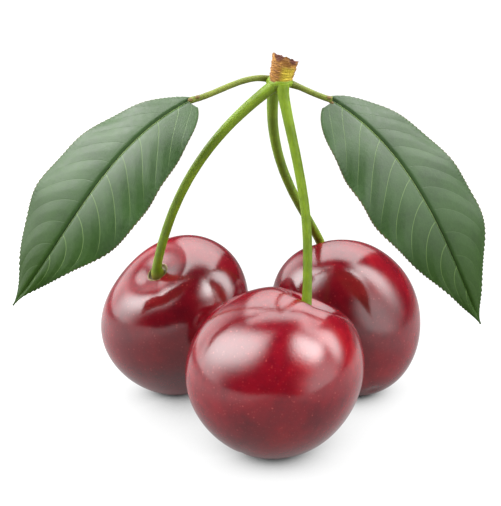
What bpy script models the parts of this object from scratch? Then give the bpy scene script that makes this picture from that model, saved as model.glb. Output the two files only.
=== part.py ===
"""Three sweet cherries on their stalks, joined at one woody spur that also carries two leaves.

The bunch rests on its three fruits, +Z up, with the leaves spread along X and the front
fruit towards -Y. Dimensions below are in millimetres. The origin is the middle of the
footprint, on the surface the fruits rest on.
"""

import math

import bmesh
import bpy
from mathutils import Vector

MM = 0.001
GAP = 0.3  # clearance between neighbouring pieces

# Fruits: where the middle of each one stands, its mean radius, and the way its stalk end
# faces. second and third are the shares of cos 2t and cos 3t in the profile. broad widens
# the equator one way, lean pushes one shoulder out and lobes makes three soft sides, each
# turned by its own angle in degrees. cavity is the depth at the stalk and spread the half
# angle of that hollow in degrees.
CHERRIES = {
    "front": dict(at=(4.16, 1.8), radius=13.66, stalk_end=(0.435, 0.27, 0.86),
                  second=-0.006, third=0.003, broad=0.034, broad_turn=53.0, lean=0.039,
                  lean_turn=40.0, lobes=-0.042, lobes_turn=111.0, cavity=0.32, spread=16.5),
    "left": dict(at=(-11.87, 23.42), radius=12.76, stalk_end=(-0.28, -0.40, 0.87),
                 second=0.039, third=-0.043, broad=0.025, broad_turn=28.0, lean=0.09,
                 lean_turn=-16.0, lobes=0.03, lobes_turn=184.0, cavity=0.13, spread=20.0),
    "right": dict(at=(15.74, 26.5), radius=12.5, stalk_end=(-0.31, 0.60, 0.74),
                  second=0.038, third=-0.032, broad=-0.05, broad_turn=-15.0, lean=-0.06,
                  lean_turn=67.0, lobes=-0.037, lobes_turn=83.0, cavity=0.36, spread=21.0),
}
CAVITY_POWER = 2.6
CAVITY_EDGE = math.radians(42.0)  # the hollow has faded out by this angle
SUTURE_DEPTH = 0.018  # shallow seam down one side, as a share of the radius
SUTURE_HALF_WIDTH = math.radians(14.0)
SCAR_DEPTH = 0.02
SCAR_HALF_ANGLE = math.radians(5.0)
REST_CUT = 0.18  # how much the skin flattens where the fruit rests
MERIDIANS = 40
CAVITY_RINGS = 11
BODY_RINGS = 16

# Stalks: how far the curve runs on along the fruit's axis, the points that it bends towards
# after that, and its top.
STALKS = {
    "front": dict(run=3.6, bend=((6.6, 7.4, 36.5), (12.1, 4.9, 29.7), (4.9, 11.1, 51.9)),
                  top=(4.9, 11.6, 55.7)),
    "left": dict(run=1.8, bend=((-13.8, 17.4, 25.8), (-13.9, 12.4, 37.1), (-8.2, 12.5, 46.7)),
                 top=(2.9, 12.3, 55.6)),
    "right": dict(run=4.9, bend=((12.3, 27.2, 27.4), (1.8, 20.6, 37.5)), top=(3.5, 15.0, 54.7)),
}
STALK_FOOT_RADIUS = 1.05
STALK_RADIUS = 0.72
STALK_TOP_RADIUS = 0.95
STALK_SIDES = 12
STALK_RINGS = 24

# Spur: the short piece of woody shoot, torn off at its upper end.
SPUR_FOOT = (4.55, 13.0, 56.8)
SPUR_TOP = (5.3, 13.0, 60.3)
SPUR_FOOT_RADIUS = 1.7
SPUR_TOP_RADIUS = 2.0
SPUR_RIDGES = 3
SPUR_SIDES = 20
SPUR_RINGS = 16
TEAR_SLOPE = 0.35
TEAR_CHIP = 0.18

# Leaves: the leaf stalk's curve, the blade's midrib, the way the blade faces, and for the
# upper and lower half its width, where along the midrib it is widest, and how sharply it
# rounds off towards the leaf stalk and the tip.
LEAVES = {
    "left": dict(
        stalk=((2.4, 13.7, 56.8), (-1.3, 12.4, 57.8), (-5.3, 11.0, 54.9), (-9.3, 10.0, 54.4)),
        midrib=((-9.3, 10.0, 54.4), (-22.3, 8.3, 48.0), (-27.8, 6.7, 34.2), (-36.8, 5.0, 22.9)),
        faces=(-0.41, -0.78, 0.48),
        upper=dict(width=9.2, widest=0.59, base=0.58, tip=1.39),
        lower=dict(width=9.1, widest=0.50, base=0.33, tip=1.60)),
    "right": dict(
        stalk=((6.8, 13.0, 55.9), (8.6, 12.7, 55.3), (10.2, 12.3, 54.4), (12.4, 12.0, 53.9)),
        midrib=((12.4, 12.0, 53.9), (24.8, 10.0, 46.8), (30.2, 8.0, 32.7), (35.7, 6.0, 19.4)),
        faces=(0.43, -0.80, 0.42),
        upper=dict(width=8.8, widest=0.60, base=0.50, tip=1.50),
        lower=dict(width=9.2, widest=0.43, base=0.38, tip=1.13)),
}
LEAF_STALK_RADIUS = 0.46
BLADE_HALF_THICKNESS = 0.17
BLADE_ARCH = 0.13  # each half arches up from the midrib by this share of its width
BLADE_DROOP = 0.12
BLADE_HEEL = 0.8  # how far the blade's base corners reach back beside the leaf stalk
BLADE_ROWS = 30
LEAF_STALK_ROWS = 9
BLADE_COLUMNS = 13

# Colour, roughness, metallic.
LOOKS = {
    "cherry_skin": ((0.21, 0.006, 0.012, 1.0), 0.16, 0.0),
    "green_stalk": ((0.25, 0.36, 0.06, 1.0), 0.45, 0.0),
    "leaf_blade": ((0.06, 0.12, 0.035, 1.0), 0.4, 0.0),
    "spur_bark": ((0.40, 0.19, 0.05, 1.0), 0.8, 0.0),
}


def clear_scene():
    for obj in list(bpy.data.objects):
        bpy.data.objects.remove(obj, do_unlink=True)


def make_material(name):
    colour, roughness, metallic = LOOKS[name]
    material = bpy.data.materials.new(name)
    material.use_nodes = True
    shader = material.node_tree.nodes["Principled BSDF"]
    shader.inputs["Base Color"].default_value = colour
    shader.inputs["Roughness"].default_value = roughness
    shader.inputs["Metallic"].default_value = metallic
    material.diffuse_color = colour
    return material


def bezier(points, t):
    """The point at t on the Bezier curve through the first and last of its control points."""
    left = [Vector(p) for p in points]
    while len(left) > 1:
        left = [a.lerp(b, t) for a, b in zip(left, left[1:])]
    return left[0]


def bezier_tangent(points, t):
    ends = [Vector(p) for p in points]
    return bezier([b - a for a, b in zip(ends, ends[1:])], t).normalized()


def axes_along(direction):
    """The unit direction and two more at right angles to it, the first nearly along X."""
    along = Vector(direction).normalized()
    across = Vector((0, 1, 0)).cross(along).normalized()
    return along, across, along.cross(across)


def loft(rings):
    """A closed bmesh through rings of equal length, each end closed by one face."""
    bm = bmesh.new()
    rows = [[bm.verts.new(point) for point in ring] for ring in rings]
    count = len(rings[0])
    for low, high in zip(rows, rows[1:]):
        for i in range(count):
            j = (i + 1) % count
            bm.faces.new((low[i], low[j], high[j], high[i]))
    bm.faces.new(rows[0][::-1])
    bm.faces.new(rows[-1])
    return bm


def finish(bm, name, material, origin, bunch):
    """Turns the bmesh into an object whose own origin is at the given point."""
    bmesh.ops.recalc_face_normals(bm, faces=bm.faces)
    bmesh.ops.translate(bm, verts=bm.verts, vec=-Vector(origin))
    bmesh.ops.scale(bm, verts=bm.verts, vec=(MM, MM, MM))
    for face in bm.faces:
        face.smooth = len(face.verts) < 5
    mesh = bpy.data.meshes.new(name)
    bm.to_mesh(mesh)
    bm.free()
    mesh.materials.append(material)
    obj = bpy.data.objects.new(name, mesh)
    obj.location = Vector(origin) * MM
    obj.parent = bunch
    bpy.context.scene.collection.objects.link(obj)
    return obj


# ---------------------------------------------------------------- fruits

def cherry_reach(spec, theta, phi):
    """Distance from the fruit's middle to its skin, theta from the stalk end and phi around."""
    swell = 1.0 + spec["second"] * math.cos(2 * theta) + spec["third"] * math.cos(3 * theta)
    broad, lean, lobes = (phi - math.radians(spec[key + "_turn"]) for key in ("broad", "lean", "lobes"))
    swell *= (1.0 + spec["broad"] * math.sin(theta) ** 2 * math.cos(2 * broad)
              + spec["lean"] * math.sin(2 * theta) * math.cos(lean))
    swell += spec["lobes"] * math.sin(theta) ** 3 * math.cos(3 * lobes)
    swell -= spec["cavity"] * math.exp(-((theta / math.radians(spec["spread"])) ** CAVITY_POWER))
    off_seam = math.remainder(phi + math.pi / 2, 2 * math.pi) / SUTURE_HALF_WIDTH
    swell -= SUTURE_DEPTH * math.exp(-off_seam**2) * math.sin(theta) ** 0.5
    swell -= SCAR_DEPTH * math.exp(-(((math.pi - theta) / SCAR_HALF_ANGLE) ** 2))
    return spec["radius"] * swell


def cherry_angles():
    """Ring angles from the stalk end to the far end, closer together in the stalk cavity."""
    edge = CAVITY_EDGE
    near = [edge * (k + 1) / CAVITY_RINGS for k in range(CAVITY_RINGS)]
    far = [edge + (math.pi - edge) * (k + 1) / BODY_RINGS for k in range(BODY_RINGS - 1)]
    return near + far


def cherry_surface(spec):
    along, across, beside = axes_along(spec["stalk_end"])
    bm = bmesh.new()
    rows = []
    for theta in cherry_angles():
        row = []
        for k in range(MERIDIANS):
            phi = 2 * math.pi * k / MERIDIANS
            way = math.cos(theta) * along
            way += math.sin(theta) * (math.cos(phi) * across + math.sin(phi) * beside)
            row.append(bm.verts.new(way * cherry_reach(spec, theta, phi)))
        rows.append(row)
    floor = bm.verts.new(along * cherry_reach(spec, 0.0, 0.0))
    scar = bm.verts.new(-along * cherry_reach(spec, math.pi, 0.0))
    for k in range(MERIDIANS):
        j = (k + 1) % MERIDIANS
        bm.faces.new((floor, rows[0][k], rows[0][j]))
        bm.faces.new((scar, rows[-1][j], rows[-1][k]))
        for low, high in zip(rows, rows[1:]):
            bm.faces.new((low[k], high[k], high[j], low[j]))
    return bm


def cherry_middle(spec):
    """The fruit's middle, at the height that lets its lowest skin press flat on the surface."""
    bm = cherry_surface(spec)
    lowest = min(v.co.z for v in bm.verts)
    bm.free()
    return Vector((*spec["at"], -lowest - REST_CUT))


def make_cherry(side, material, bunch):
    spec = CHERRIES[side]
    middle = cherry_middle(spec)
    bm = cherry_surface(spec)
    bmesh.ops.translate(bm, verts=bm.verts, vec=middle)
    everything = bm.verts[:] + bm.edges[:] + bm.faces[:]
    bmesh.ops.bisect_plane(bm, geom=everything, plane_co=(0, 0, 0), plane_no=(0, 0, -1),
                           clear_outer=True)
    rim = [edge for edge in bm.edges if edge.is_boundary]
    bmesh.ops.contextual_create(bm, geom=rim)
    return finish(bm, "cherry_" + side, material, middle, bunch)


# ---------------------------------------------------------------- stalks

def stalk_curve(side):
    """Control points of the stalk, from just clear of the cavity floor to the spur."""
    spec = CHERRIES[side]
    along = Vector(spec["stalk_end"]).normalized()
    floor = cherry_reach(spec, 0.0, 0.0)
    at_edge = math.atan2(STALK_FOOT_RADIUS, floor)
    highest = cherry_reach(spec, at_edge, 0.0) * math.cos(at_edge)
    foot = cherry_middle(spec) + along * (max(floor, highest) + 2 * GAP)
    stalk = STALKS[side]
    return (foot, foot + along * stalk["run"], *stalk["bend"], stalk["top"])


def stalk_radius(t):
    flare = (STALK_FOOT_RADIUS - STALK_RADIUS) * math.exp(-((t / 0.09) ** 2))
    swelling = (STALK_TOP_RADIUS - STALK_RADIUS) * t**6
    return STALK_RADIUS + flare + swelling


def make_stalk(side, material, bunch):
    curve = stalk_curve(side)
    rings = []
    for k in range(STALK_RINGS + 1):
        t = (k / STALK_RINGS) ** 1.3
        centre = bezier(curve, t)
        _, across, beside = axes_along(bezier_tangent(curve, t))
        ring = []
        for n in range(STALK_SIDES):
            turn = 2 * math.pi * n / STALK_SIDES
            out = math.cos(turn) * across + math.sin(turn) * beside
            ring.append(centre + out * stalk_radius(t))
        rings.append(ring)
    return finish(loft(rings), "stalk_" + side, material, curve[0], bunch)


# ---------------------------------------------------------------- spur

def spur_radius(t):
    body = SPUR_FOOT_RADIUS + (SPUR_TOP_RADIUS - SPUR_FOOT_RADIUS) * t
    ridge = 0.5 + 0.5 * math.cos(2 * math.pi * (SPUR_RIDGES * t - 0.15))
    return body * (0.95 + 0.09 * ridge**2)


def make_spur(material, bunch):
    foot = Vector(SPUR_FOOT)
    shaft = Vector(SPUR_TOP) - foot
    _, across, beside = axes_along(shaft)
    rings = []
    for k in range(SPUR_RINGS + 1):
        t = k / SPUR_RINGS
        ring = []
        for n in range(SPUR_SIDES):
            turn = 2 * math.pi * n / SPUR_SIDES
            out = math.cos(turn) * across + math.sin(turn) * beside
            tear = -TEAR_SLOPE * math.cos(turn) + TEAR_CHIP * math.sin(5 * turn)
            lift = shaft.normalized() * tear * t**6
            oval = 1.0 + 0.05 * math.sin(2 * turn)
            ring.append(foot + shaft * t + lift + out * spur_radius(t) * oval)
        rings.append(ring)
    return finish(loft(rings), "spur", material, foot, bunch)


# ---------------------------------------------------------------- leaves

def half_width(half, t):
    """Half the blade's width, t along the midrib from 0 at the leaf stalk to 1 at the tip."""
    power = math.log(0.5) / math.log(half["widest"])
    sharpness = half["base"] if t < half["widest"] else half["tip"]
    return half["width"] * max(math.sin(math.pi * t**power), 0.0) ** sharpness


def leaf_section(centre, tangent, faces, reach, thickness, arch, heel=0.0):
    """One ring across the leaf: the upper face from edge to edge, then back below."""
    side = Vector(faces).cross(tangent).normalized()
    if side.z < 0:
        side = -side
    up = side.cross(tangent).normalized()
    if up.dot(Vector(faces)) < 0:
        up = -up
    upper, lower = [], []
    for k in range(BLADE_COLUMNS):
        u = -math.cos(math.pi * k / (BLADE_COLUMNS - 1))
        width = reach["upper"] if u > 0 else reach["lower"]
        lift = arch * width * math.sin(math.pi * abs(u) ** 0.8)
        lift -= arch * BLADE_DROOP / BLADE_ARCH * width * u * u
        skin = thickness * math.sqrt(max(1.0 - u * u, 0.0))
        middle = centre + side * (u * width) + up * lift - tangent * (heel * u * u)
        upper.append(middle + up * skin)
        lower.append(middle - up * skin)
    return upper + lower[-2:0:-1]


def make_leaf(side, material, bunch):
    spec = LEAVES[side]
    rings = []
    for k in range(LEAF_STALK_ROWS):
        t = k / LEAF_STALK_ROWS
        reach = dict(upper=LEAF_STALK_RADIUS, lower=LEAF_STALK_RADIUS)
        rings.append(leaf_section(bezier(spec["stalk"], t), bezier_tangent(spec["stalk"], t),
                                  spec["faces"], reach, LEAF_STALK_RADIUS, 0.0))
    for k in range(BLADE_ROWS):
        t = 0.5 - 0.5 * math.cos(math.pi * (k + 0.4) / BLADE_ROWS)
        reach = {half: max(half_width(spec[half], t), 0.2) for half in ("upper", "lower")}
        thickness = BLADE_HALF_THICKNESS + (LEAF_STALK_RADIUS - BLADE_HALF_THICKNESS) * (1 - t) ** 12
        arch = BLADE_ARCH * min(1.0, 4.0 * t)
        heel = BLADE_HEEL * math.exp(-t / 0.05)
        rings.append(leaf_section(bezier(spec["midrib"], t), bezier_tangent(spec["midrib"], t),
                                  spec["faces"], reach, thickness, arch, heel))
    return finish(loft(rings), "leaf_" + side, material, spec["stalk"][0], bunch)


# ---------------------------------------------------------------- bunch

def centre_on_footprint(bunch, pieces):
    """Moves every piece so that the origin is under the middle of the whole bunch's box."""
    bpy.context.view_layer.update()
    corners = [piece.matrix_world @ v.co for piece in pieces for v in piece.data.vertices]
    middle = Vector((
        (min(c.x for c in corners) + max(c.x for c in corners)) / 2,
        (min(c.y for c in corners) + max(c.y for c in corners)) / 2,
        min(c.z for c in corners),
    ))
    for piece in pieces:
        piece.location -= middle


def build():
    clear_scene()
    materials = {name: make_material(name) for name in LOOKS}
    bunch = bpy.data.objects.new("cherry_bunch", None)
    bpy.context.scene.collection.objects.link(bunch)
    pieces = [make_cherry(side, materials["cherry_skin"], bunch) for side in CHERRIES]
    pieces += [make_stalk(side, materials["green_stalk"], bunch) for side in STALKS]
    pieces.append(make_spur(materials["spur_bark"], bunch))
    pieces += [make_leaf(side, materials["leaf_blade"], bunch) for side in LEAVES]
    centre_on_footprint(bunch, pieces)


build()
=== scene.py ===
"""Three sweet cherries on their stalks, with two leaves, finished in full detail.

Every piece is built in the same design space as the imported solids, in millimetres, and then
moved by one offset onto them. Fruits, stalks, leaves and spur each have their own section.
"""

import math

import bmesh
import bpy
import numpy as np
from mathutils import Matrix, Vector, noise


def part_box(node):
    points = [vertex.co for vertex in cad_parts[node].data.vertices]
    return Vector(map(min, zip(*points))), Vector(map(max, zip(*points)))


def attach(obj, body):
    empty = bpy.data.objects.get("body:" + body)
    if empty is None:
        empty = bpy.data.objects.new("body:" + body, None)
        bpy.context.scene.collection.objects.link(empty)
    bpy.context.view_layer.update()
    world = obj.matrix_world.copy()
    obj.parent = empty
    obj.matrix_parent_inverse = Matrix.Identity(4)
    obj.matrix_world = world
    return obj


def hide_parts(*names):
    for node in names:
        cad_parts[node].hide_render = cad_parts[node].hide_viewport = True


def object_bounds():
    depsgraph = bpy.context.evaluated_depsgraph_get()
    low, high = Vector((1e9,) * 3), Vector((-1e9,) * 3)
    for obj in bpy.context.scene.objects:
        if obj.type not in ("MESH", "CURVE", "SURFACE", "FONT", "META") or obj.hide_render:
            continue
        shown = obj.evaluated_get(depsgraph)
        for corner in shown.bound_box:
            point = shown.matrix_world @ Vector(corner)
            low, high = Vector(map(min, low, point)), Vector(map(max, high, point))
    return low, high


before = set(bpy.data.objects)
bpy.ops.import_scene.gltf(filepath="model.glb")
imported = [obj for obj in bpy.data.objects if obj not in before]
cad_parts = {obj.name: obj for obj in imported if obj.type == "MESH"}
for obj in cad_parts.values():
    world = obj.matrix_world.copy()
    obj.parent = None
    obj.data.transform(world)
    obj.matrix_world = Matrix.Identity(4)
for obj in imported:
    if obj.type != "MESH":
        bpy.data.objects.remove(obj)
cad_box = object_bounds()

MM = 0.001
BODY = "root"

# ---- sizes shared with the solids

CHERRIES = {
    "front": dict(at=(4.16, 1.8), radius=13.66, stalk_end=(0.435, 0.27, 0.86),
                  second=-0.006, third=0.003, broad=0.034, broad_turn=53.0, lean=0.039,
                  lean_turn=40.0, lobes=-0.042, lobes_turn=111.0, cavity=0.32, spread=16.5),
    "left": dict(at=(-11.87, 23.42), radius=12.76, stalk_end=(-0.28, -0.40, 0.87),
                 second=0.039, third=-0.043, broad=0.025, broad_turn=28.0, lean=0.09,
                 lean_turn=-16.0, lobes=0.03, lobes_turn=184.0, cavity=0.13, spread=20.0),
    "right": dict(at=(15.74, 26.5), radius=12.5, stalk_end=(-0.31, 0.60, 0.74),
                  second=0.038, third=-0.032, broad=-0.05, broad_turn=-15.0, lean=-0.06,
                  lean_turn=67.0, lobes=-0.037, lobes_turn=83.0, cavity=0.36, spread=21.0),
}
CAVITY_POWER = 2.6
SUTURE_DEPTH = 0.018
SUTURE_HALF_WIDTH = math.radians(14.0)
SCAR_DEPTH = 0.02
SCAR_HALF_ANGLE = math.radians(5.0)
REST_CUT = 0.18

STALKS = {
    "front": dict(run=3.6, bend=((6.6, 7.4, 36.5), (12.1, 4.9, 29.7), (4.9, 11.1, 51.9)),
                  top=(4.9, 11.6, 55.7)),
    "left": dict(run=1.8, bend=((-13.8, 17.4, 25.8), (-13.9, 12.4, 37.1), (-8.2, 12.5, 46.7)),
                 top=(2.9, 12.3, 55.6)),
    "right": dict(run=4.9, bend=((12.3, 27.2, 27.4), (1.8, 20.6, 37.5)), top=(3.5, 15.0, 54.7)),
}
STALK_FOOT_RADIUS = 1.05
STALK_RADIUS = 0.72
STALK_TOP_RADIUS = 0.95

SPUR_FOOT = (4.55, 13.0, 56.8)
SPUR_TOP = (5.3, 13.0, 60.3)
SPUR_FOOT_RADIUS = 1.7
SPUR_TOP_RADIUS = 2.0

LEAVES = {
    "left": dict(
        stalk=((2.4, 13.7, 56.8), (-1.3, 12.4, 57.8), (-5.3, 11.0, 54.9), (-9.3, 10.0, 54.4)),
        midrib=((-9.3, 10.0, 54.4), (-22.3, 8.3, 48.0), (-27.8, 6.7, 34.2), (-36.8, 5.0, 22.9)),
        faces=(-0.41, -0.78, 0.48),
        upper=dict(width=9.2, widest=0.59, base=0.58, tip=1.39),
        lower=dict(width=9.1, widest=0.50, base=0.33, tip=1.60)),
    "right": dict(
        stalk=((6.8, 13.0, 55.9), (8.6, 12.7, 55.3), (10.2, 12.3, 54.4), (12.4, 12.0, 53.9)),
        midrib=((12.4, 12.0, 53.9), (24.8, 10.0, 46.8), (30.2, 8.0, 32.7), (35.7, 6.0, 19.4)),
        faces=(0.43, -0.80, 0.42),
        upper=dict(width=8.8, widest=0.60, base=0.50, tip=1.50),
        lower=dict(width=9.2, widest=0.43, base=0.38, tip=1.13)),
}
LEAF_STALK_RADIUS = 0.46
BLADE_DROOP = 0.12
BLADE_HEEL = 0.8


# ---- curves and meshes

def unit(vectors):
    vectors = np.asarray(vectors, float)
    return vectors / np.linalg.norm(vectors, axis=-1, keepdims=True)


def bezier(points, t):
    """Points at the parameters t on the Bezier curve with these control points."""
    t = np.asarray(t, float)[..., None]
    level = [np.asarray(p, float) for p in points]
    while len(level) > 1:
        level = [a * (1 - t) + b * t for a, b in zip(level, level[1:])]
    return level[0]


def bezier_tangent(points, t):
    points = np.asarray(points, float)
    return unit(bezier(points[1:] - points[:-1], t))


def axes_along(direction):
    along = unit(direction)
    across = unit(np.cross((0.0, 1.0, 0.0), along))
    return along, across, np.cross(along, across)


def bell(x, width):
    return np.exp(-((x / width) ** 2))


def smooth_step(x, low, high):
    s = np.clip((x - low) / (high - low), 0.0, 1.0)
    return s * s * (3.0 - 2.0 * s)


def soft_noise(points, size, seed):
    """Smooth noise from -1 to 1 at each point, its lumps about size across."""
    shift = Vector((seed * 7.31, seed * 3.17, seed * 5.53))
    flat = np.asarray(points, float).reshape(-1, 3) / size
    values = [noise.noise(Vector(p) + shift) for p in flat]
    return np.array(values).reshape(np.shape(points)[:-1])


def grid_faces(rows, columns, wrap):
    """Quads of a grid of rows by columns points; wrap joins the last column to the first."""
    index = np.arange(rows * columns).reshape(rows, columns)
    after = np.roll(index, -1, axis=1)
    last = columns if wrap else columns - 1
    quads = np.stack([index[:-1, :last], after[:-1, :last], after[1:, :last], index[1:, :last]], -1)
    return quads.reshape(-1, 4).tolist()


def put_in_scene(obj):
    bpy.context.scene.collection.objects.link(obj)


def ball_angles(rings, sides):
    """Angles from the pole and around it for the points of a ball, ring by ring."""
    return [(math.pi * i / rings, 2 * math.pi * k / sides)
            for i in range(rings + 1) for k in range(sides)]


def make_piece(name, points, faces, materials):
    """A smooth mesh object from points in design millimetres."""
    mesh = bpy.data.meshes.new(name)
    mesh.from_pydata((np.asarray(points).reshape(-1, 3) + OFFSET) * MM, [], faces)
    for material in materials:
        mesh.materials.append(material)
    mesh.polygons.foreach_set("use_smooth", [True] * len(mesh.polygons))
    mesh.update()
    obj = bpy.data.objects.new(name, mesh)
    put_in_scene(obj)
    return obj


def face_outwards(obj, merge=None):
    """Turns every face outwards, after points closer than merge metres are made one."""
    bm = bmesh.new()
    bm.from_mesh(obj.data)
    if merge:
        bmesh.ops.remove_doubles(bm, verts=bm.verts, dist=merge)
    bmesh.ops.recalc_face_normals(bm, faces=bm.faces)
    bm.to_mesh(obj.data)
    bm.free()


def store(obj, name, values):
    """Keeps one number a point under this name, for the materials."""
    data = obj.data.attributes.new(name, "FLOAT", "POINT")
    data.data.foreach_set("value", values.reshape(-1).astype(np.float32))


def keep(obj, node):
    """The piece stands for the CAD node, whose part is hidden, and rides on the bunch."""
    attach(obj, BODY)
    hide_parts(node)
    return obj


# ---- shader helpers

def add(tree, kind, inputs=None, **settings):
    """Adds a node; inputs maps socket names or numbers to a value or to another socket."""
    made = tree.nodes.new(kind)
    for name, value in settings.items():
        setattr(made, name, value)
    for name, value in (inputs or {}).items():
        if isinstance(value, bpy.types.NodeSocket):
            tree.links.new(value, made.inputs[name])
        else:
            made.inputs[name].default_value = value
    return made


def maths(tree, operation, a, b=0.0, c=None):
    inputs = {0: a, 1: b}
    if c is not None:
        inputs[2] = c
    return add(tree, "ShaderNodeMath", inputs, operation=operation).outputs[0]


def times(tree, a, b):
    return maths(tree, "MULTIPLY", a, b)


def ramp(tree, factor, low, high, to_low=0.0, to_high=1.0):
    """Smooth step of factor between low and high."""
    inputs = {"Value": factor, "From Min": low, "From Max": high, "To Min": to_low, "To Max": to_high}
    made = add(tree, "ShaderNodeMapRange", inputs, interpolation_type="SMOOTHSTEP")
    return made.outputs["Result"]


def mix(tree, factor, a, b):
    return add(tree, "ShaderNodeMix", {0: factor, 6: a, 7: b}, data_type="RGBA").outputs[2]


def noise_of(tree, where, scale, detail=2.0, roughness=0.5):
    inputs = {"Vector": where, "Scale": scale, "Detail": detail, "Roughness": roughness}
    return add(tree, "ShaderNodeTexNoise", inputs).outputs["Fac"]


def stretched(tree, where, scale):
    return add(tree, "ShaderNodeMapping", {"Vector": where, "Scale": scale}).outputs[0]


def split_xyz(tree, vector):
    return add(tree, "ShaderNodeSeparateXYZ", {0: vector}).outputs


def stored(tree, name):
    """A value that is stored at each point of the mesh."""
    return add(tree, "ShaderNodeAttribute", attribute_name=name).outputs["Fac"]


def in_millimetres(tree):
    """Object coordinates in millimetres."""
    place = add(tree, "ShaderNodeTexCoord").outputs["Object"]
    return stretched(tree, place, (1000, 1000, 1000))


def bump(tree, height, distance, strength):
    inputs = {"Height": height, "Distance": distance, "Strength": strength}
    return add(tree, "ShaderNodeBump", inputs).outputs["Normal"]


def new_material(name):
    material = bpy.data.materials.new(name)
    material.use_nodes = True
    tree = material.node_tree
    return material, tree, tree.nodes["Principled BSDF"]


def set_inputs(shader, values):
    for name, value in values.items():
        shader.inputs[name].default_value = value


def connect(tree, shader, **sockets):
    names = {"colour": "Base Color", "roughness": "Roughness", "normal": "Normal"}
    for key, socket in sockets.items():
        tree.links.new(socket, shader.inputs[names[key]])


# ---- materials

# Colours, in linear light.
SKIN_DEEP = (0.088, 0.0018, 0.0064, 1)
SKIN_RED = (0.176, 0.0023, 0.0080, 1)
SKIN_BRIGHT = (0.26, 0.0055, 0.0100, 1)
SKIN_SPECK = (0.46, 0.060, 0.055, 1)
SPECK_SIZES = ((1.15, 0.25, 0.36), (2.3, 0.32, 0.24))  # cells a millimetre, radius, strength
# The foot pit: dark painted shade of the gap round the stalk foot, mottled with tan.
PIT_PAINTED_SHADE = (0.035, 0.030, 0.004, 1)
PIT_TAN = (0.15, 0.10, 0.02, 1)

STALK_DULL = (0.095, 0.155, 0.0030, 1)
STALK_FRESH = (0.170, 0.260, 0.0070, 1)
STALK_TAN = (0.16, 0.095, 0.016, 1)
STALK_SPECK = (0.10, 0.085, 0.02, 1)
LEAF_STALK_DULL = (0.085, 0.110, 0.008, 1)
LEAF_STALK_FRESH = (0.150, 0.180, 0.020, 1)
LEAF_STALK_FOOT = (0.075, 0.100, 0.008, 1)
RING_DULL = (0.10, 0.06, 0.012, 1)
RING_FRESH = (0.19, 0.13, 0.035, 1)
RING_FOOT = (0.12, 0.08, 0.02, 1)

LEAF_DEEP = (0.012, 0.039, 0.0040, 1)
LEAF_GREEN = (0.020, 0.058, 0.0080, 1)
LEAF_FLECK = (0.026, 0.068, 0.012, 1)
LEAF_TIP = (0.013, 0.033, 0.0012, 1)
LEAF_NET = (0.07, 0.12, 0.03, 1)
LEAF_VEIN = (0.11, 0.18, 0.05, 1)
LEAF_TOOTH = (0.16, 0.09, 0.04, 1)
# The midrib's upper side is painted shade, as in its groove; its lower side is pale and painted as lit.
MIDRIB_PAINTED_SHADE = (0.006, 0.016, 0.001, 1)
MIDRIB_PALE_AND_LIT = (0.24, 0.33, 0.10, 1)
UNDER_DULL = (0.10, 0.17, 0.055, 1)
UNDER_GREEN = (0.15, 0.23, 0.08, 1)
UNDER_VEIN = (0.34, 0.42, 0.17, 1)

BARK_DARK = (0.19, 0.066, 0.006, 1)
BARK_LIGHT = (0.40, 0.19, 0.026, 1)
BARK_GRIT = (0.40, 0.24, 0.09, 1)
BARK_CRACK = (0.075, 0.022, 0.005, 1)
PAPER_DARK = (0.36, 0.25, 0.008, 1)
PAPER_LIGHT = (0.54, 0.42, 0.025, 1)
TORN_DARK = (0.050, 0.010, 0.004, 1)
TORN_LIGHT = (0.13, 0.032, 0.010, 1)


def cherry_skin():
    """Glossy dark red skin, mottled and streaked, with fine pale specks and painted shade in the foot
    pit, mottled with tan.
    """
    material, tree, shader = new_material("cherry_skin")
    place = in_millimetres(tree)
    uv = add(tree, "ShaderNodeUVMap", uv_map="skin").outputs[0]
    down = split_xyz(tree, uv)[1]
    streaks_at = stretched(tree, uv, (46, 5, 1))
    patches = noise_of(tree, place, 0.11, 2.0)
    mottle = noise_of(tree, place, 0.75, 4.0, 0.6)
    streaks = noise_of(tree, streaks_at, 1.0, 3.0, 0.6)
    depth = maths(tree, "MULTIPLY_ADD", patches, 0.9, times(tree, mottle, 0.35))
    depth = maths(tree, "MULTIPLY_ADD", streaks, 0.22, depth)
    colour = mix(tree, ramp(tree, depth, 0.50, 0.95), SKIN_DEEP, SKIN_RED)
    colour = mix(tree, ramp(tree, depth, 0.80, 1.15), colour, SKIN_BRIGHT)
    for scale, size, most in SPECK_SIZES:
        cells = add(tree, "ShaderNodeTexVoronoi", {"Vector": place, "Scale": scale, "Randomness": 1.0})
        dots = ramp(tree, cells.outputs["Distance"], size, size * 0.15)
        chosen = add(tree, "ShaderNodeSeparateColor", {0: cells.outputs["Color"]}).outputs[0]
        dots = times(tree, dots, ramp(tree, chosen, 0.2, 1.0, 0.0, most))
        colour = mix(tree, dots, colour, SKIN_SPECK)
    # Painted shade: the socket round the stalk foot is darkened, mottled with tan.
    pit = ramp(tree, down, PIT_EDGE * 1.04, PIT_EDGE * 0.90)
    colour = mix(tree, pit, colour, mix(tree, mottle, PIT_PAINTED_SHADE, PIT_TAN))
    rough = maths(tree, "MULTIPLY_ADD", mottle, 0.08, 0.10)
    rough = maths(tree, "MULTIPLY_ADD", pit, 0.45, rough)
    grain = noise_of(tree, place, 3.0, 3.0, 0.6)
    height = maths(tree, "MULTIPLY_ADD", dots, 0.6, grain)
    connect(tree, shader, colour=colour, roughness=rough, normal=bump(tree, height, 0.00002, 0.6))
    set_inputs(shader, {"IOR": 1.48, "Specular IOR Level": 0.65, "Subsurface Weight": 0.12,
                        "Subsurface Radius": (1.0, 0.18, 0.12), "Subsurface Scale": 0.0016})
    return material


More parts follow.
